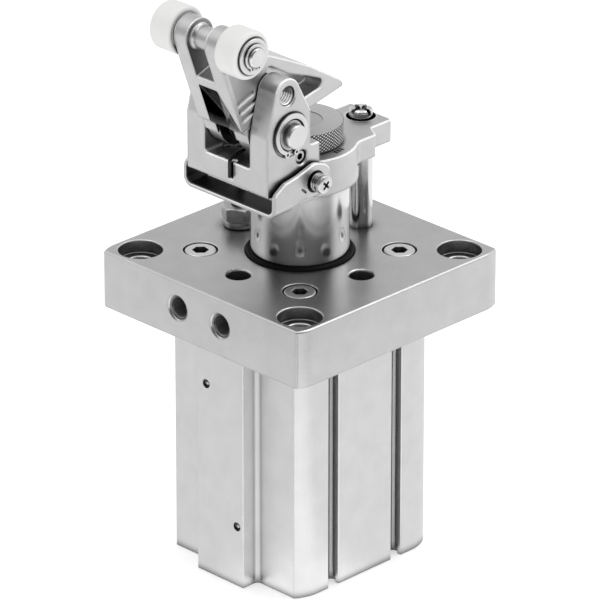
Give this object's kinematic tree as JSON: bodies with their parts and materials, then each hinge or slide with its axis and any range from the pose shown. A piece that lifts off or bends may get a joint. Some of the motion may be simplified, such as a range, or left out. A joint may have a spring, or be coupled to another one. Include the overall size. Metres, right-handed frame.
{
  "type": "pneumatic pallet stopper",
  "caption": "Flange-mounted pneumatic cylinder whose rod carries a forked head with a damped toggle lever and rollers that stops a pallet.",
  "frame": {"origin": "centre of the flange's underside, on the rod's axis", "axes": "+Z along the rod towards the lever, -Y towards the arriving pallet and the two air ports"},
  "size_m": [0.1134, 0.1168, 0.2471],
  "materials": {
    "cast_aluminium": "fine sand-cast, tumbled",
    "anodised_body": "extruded, clear anodised",
    "machined_flange": "milled, clear anodised",
    "hard_chrome": "ground and polished",
    "bright_steel": "turned, zinc plated",
    "black_oxide": "black oxide",
    "spring_steel": "drawn wire",
    "roller_plastic": "turned acetal",
    "seal_rubber": "moulded",
    "bearing_bronze": "sintered",
    "cushion_plastic": "moulded"
  },
  "bodies": {
    "cylinder": {"cylinder_body": "anodised_body", "mounting_flange": "machined_flange", "joining_screws": "bright_steel", "end_cap": "machined_flange", "end_cap_seal": "seal_rubber", "flange_seal": "seal_rubber", "retaining_ring": "black_oxide", "rod_bush": "bearing_bronze", "rod_seal": "seal_rubber", "wiper_ring": "seal_rubber", "end_buffer": "cushion_plastic", "guide_rod": "hard_chrome", "stop_post": "bright_steel", "stop_nut": "bright_steel", "stop_stud": "bright_steel", "sealing_plugs": "bright_steel", "return_spring": "spring_steel"},
    "rod": {"piston": "machined_flange", "piston_seal": "seal_rubber", "piston_magnet": "black_oxide", "piston_screw": "bright_steel", "piston_rod": "hard_chrome", "absorber_body": "black_oxide", "stopper_head": "cast_aluminium", "grub_screw_right": "bright_steel", "grub_screw_left": "bright_steel", "bail_screw_right": "bright_steel", "bail_screw_left": "bright_steel", "bail_spring": "spring_steel", "lever_axle": "bright_steel", "axle_clip_right": "bright_steel", "axle_clip_left": "bright_steel", "lever_spring": "spring_steel"},
    "adjuster": {"adjusting_ring": "bright_steel"},
    "plunger": {"absorber_plunger": "hard_chrome"},
    "lever": {"stop_lever": "cast_aluminium", "roller_axle": "bright_steel", "roller_washer_right": "bright_steel", "roller_washer_left": "bright_steel", "roller_clip_right": "bright_steel", "roller_clip_left": "bright_steel"},
    "roller_right": {"roller_right": "roller_plastic"},
    "roller_left": {"roller_left": "roller_plastic"},
    "bail": {"release_bail": "bright_steel"}
  },
  "joints": [
    {"name": "rod_slide", "type": "slide", "parent": "cylinder", "child": "rod", "axis": [0, 0, 1], "range_m": [-0.03, 0], "stiffness_N_per_m": 1500, "springref_m": 0.03, "deforming": ["return_spring"]},
    {"name": "lever_tilt", "type": "hinge", "parent": "rod", "child": "lever", "pos_m": [0, -0.028, 0.0905], "axis": [1, 0, 0], "range_deg": [-19.65, 0], "stiffness_Nm_per_rad": 0.3, "springref_deg": 34.38},
    {"name": "plunger_slide", "type": "slide", "parent": "rod", "child": "plunger", "axis": [0, 0, 1], "range_m": [-0.0098, 0]},
    {"name": "damping_adjust", "type": "hinge", "parent": "rod", "child": "adjuster", "pos_m": [0, 0, 0.0736], "axis": [0, 0, 1], "range_deg": [-150, 150]},
    {"name": "roller_right_spin", "type": "hinge", "parent": "lever", "child": "roller_right", "pos_m": [0.01835, -0.0501, 0.1306], "axis": [1, 0, 0], "continuous": true},
    {"name": "roller_left_spin", "type": "hinge", "parent": "lever", "child": "roller_left", "pos_m": [-0.01835, -0.0501, 0.1306], "axis": [1, 0, 0], "continuous": true},
    {"name": "bail_tilt", "type": "hinge", "parent": "rod", "child": "bail", "pos_m": [0, -0.017, 0.068], "axis": [1, 0, 0], "range_deg": [0, 5], "stiffness_Nm_per_rad": 0.5, "springref_deg": -11.46}
  ],
  "couplings": [
    {"joint": "plunger_slide", "follows": "lever_tilt", "m_per_rad": 0.028225}
  ]
}
